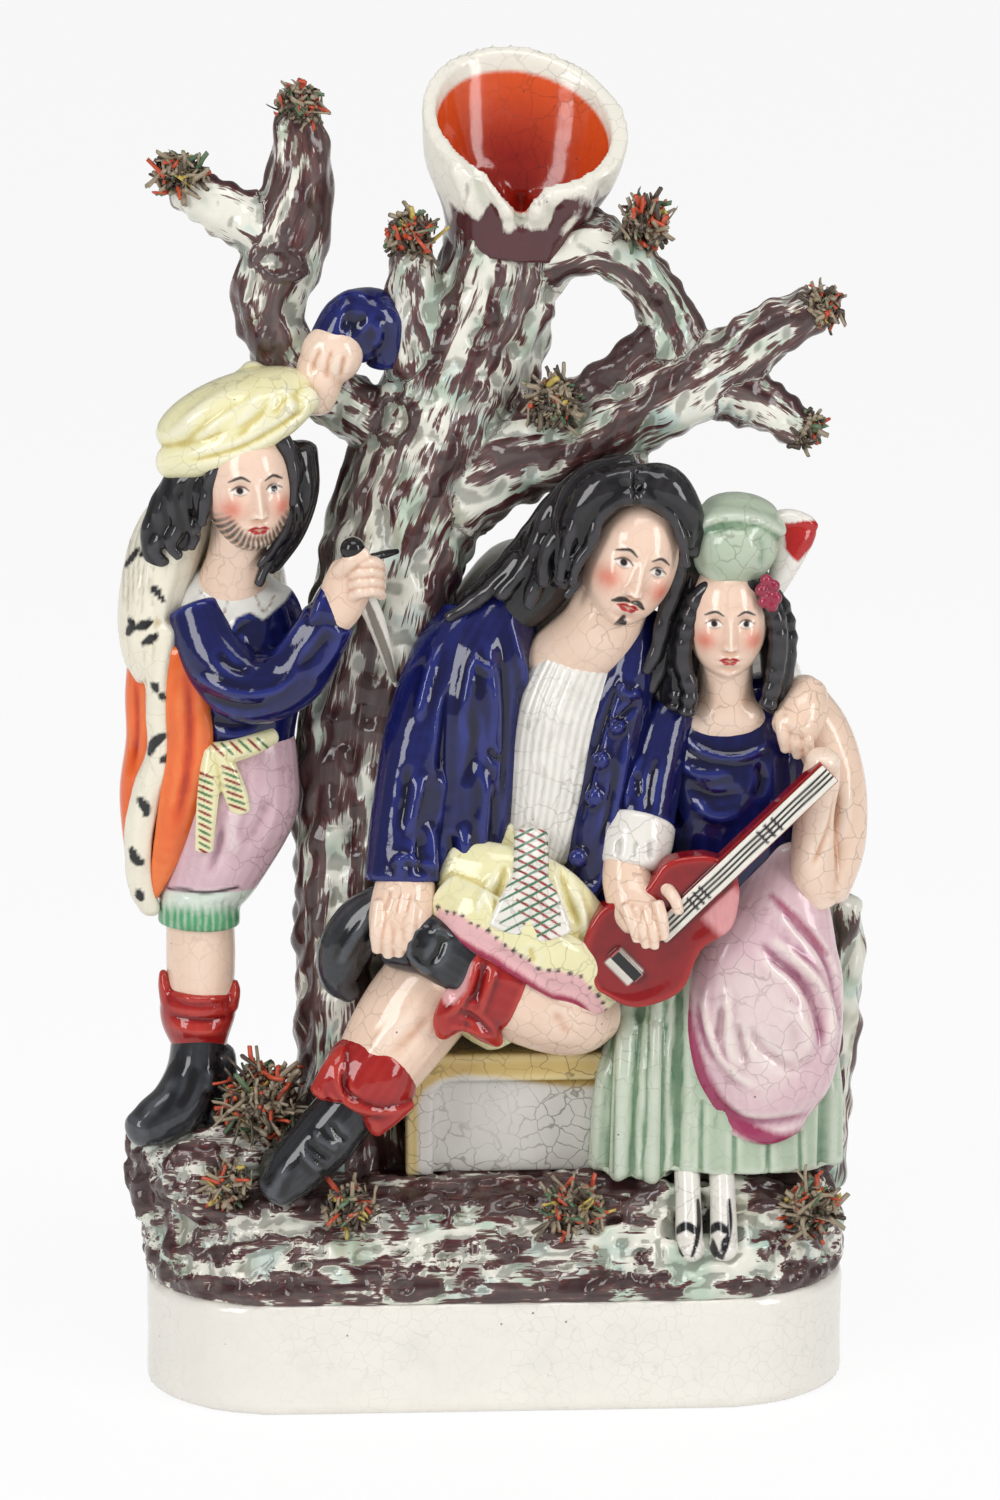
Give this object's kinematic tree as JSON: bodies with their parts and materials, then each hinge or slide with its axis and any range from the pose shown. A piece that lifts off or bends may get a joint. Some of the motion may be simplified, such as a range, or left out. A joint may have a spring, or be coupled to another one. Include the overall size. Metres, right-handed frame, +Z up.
{
  "type": "staffordshire flatback figure",
  "caption": "Glazed earthenware flatback group: three costumed figures round a tree whose hollow top is a spill cup, on a long plinth with round ends.",
  "frame": {"origin": "middle of the underside of the base, on the closing slab", "axes": "+Z up, +X to the viewer's right along the plinth, the modelled front faces -Y and the flat back faces +Y"},
  "size_m": [0.187, 0.0777, 0.3316],
  "materials": {
    "bark_glaze": "glazed, feathered aubergine brush strokes over cream with green tints",
    "black_glaze": "glossy black enamel, dark red where the boot tops turn over",
    "clay_tuft": "shredded clay strands, brown and green with orange-red and yellow touches",
    "cobalt_glaze": "glossy deep cobalt underglaze blue",
    "cream_glaze": "cream lead glaze over white earthenware, finely crazed",
    "flesh_glaze": "glazed, pale flesh enamel with blushed cheeks",
    "fur_glaze": "cream glaze with black spots and an orange lining",
    "green_glaze": "pale green enamel",
    "ground_glaze": "glazed, aubergine strokes, grey-green hollows and turquoise dabs over cream",
    "hair_glaze": "glossy black enamel with brushed waves",
    "ochre_glaze": "glazed, ochre rim round a pale grey crazed panel",
    "oxblood_glaze": "glossy dark red enamel, white fingerboard with black strings",
    "pink_glaze": "pale pink enamel, deeper in the folds",
    "white_glaze": "white glaze",
    "yellow_glaze": "pale yellow enamel, dotted on the kilt"
  },
  "bodies": {
    "root": {"ground_mound": "ground_glaze", "base_plinth": "cream_glaze", "base_slab": "cream_glaze", "spill_cup": "cream_glaze", "trunk_front": "bark_glaze", "trunk_back": "cream_glaze", "bench": "ochre_glaze", "couple_back": "cream_glaze", "brigand_dagger": "black_glaze", "brigand_hand": "flesh_glaze", "brigand_beret": "yellow_glaze", "brigand_head": "flesh_glaze", "brigand_hair": "hair_glaze", "brigand_sleeve": "cobalt_glaze", "brigand_boot": "black_glaze", "brigand_leg": "flesh_glaze", "brigand_breeches": "pink_glaze", "brigand_jacket": "cobalt_glaze", "brigand_cloak": "fur_glaze", "suitor_hand": "flesh_glaze", "suitor_head": "flesh_glaze", "suitor_hair": "hair_glaze", "suitor_sleeve": "cobalt_glaze", "suitor_jacket_right": "cobalt_glaze", "suitor_jacket_left": "cobalt_glaze", "suitor_shirt": "white_glaze", "suitor_crossed_boot": "black_glaze", "suitor_crossed_leg": "flesh_glaze", "suitor_boot": "black_glaze", "suitor_shin": "flesh_glaze", "suitor_kilt": "yellow_glaze", "lady_hand": "flesh_glaze", "guitar": "oxblood_glaze", "suitor_shoulder_hand": "flesh_glaze", "lady_hat": "green_glaze", "lady_head": "flesh_glaze", "lady_hair": "hair_glaze", "lady_arm": "flesh_glaze", "lady_sleeve": "cobalt_glaze", "lady_feet": "white_glaze", "lady_apron": "pink_glaze", "lady_skirt": "green_glaze", "lady_bodice": "cobalt_glaze", "brigand_raised_arm": "cobalt_glaze", "branch_arch": "bark_glaze", "bough_right": "bark_glaze", "branch_left": "bark_glaze", "stump_right": "bark_glaze", "tuft_high_fork": "clay_tuft", "tuft_low_fork": "clay_tuft", "tuft_stub": "clay_tuft", "tuft_arch": "clay_tuft", "tuft_bough_tip": "clay_tuft", "tuft_bough_lower": "clay_tuft", "tuft_crotch": "clay_tuft", "tuft_rock": "clay_tuft", "tuft_rock_foot": "clay_tuft", "tuft_ground_left": "clay_tuft", "tuft_ground_middle": "clay_tuft", "tuft_ground_right": "clay_tuft"}
  },
  "joints": []
}
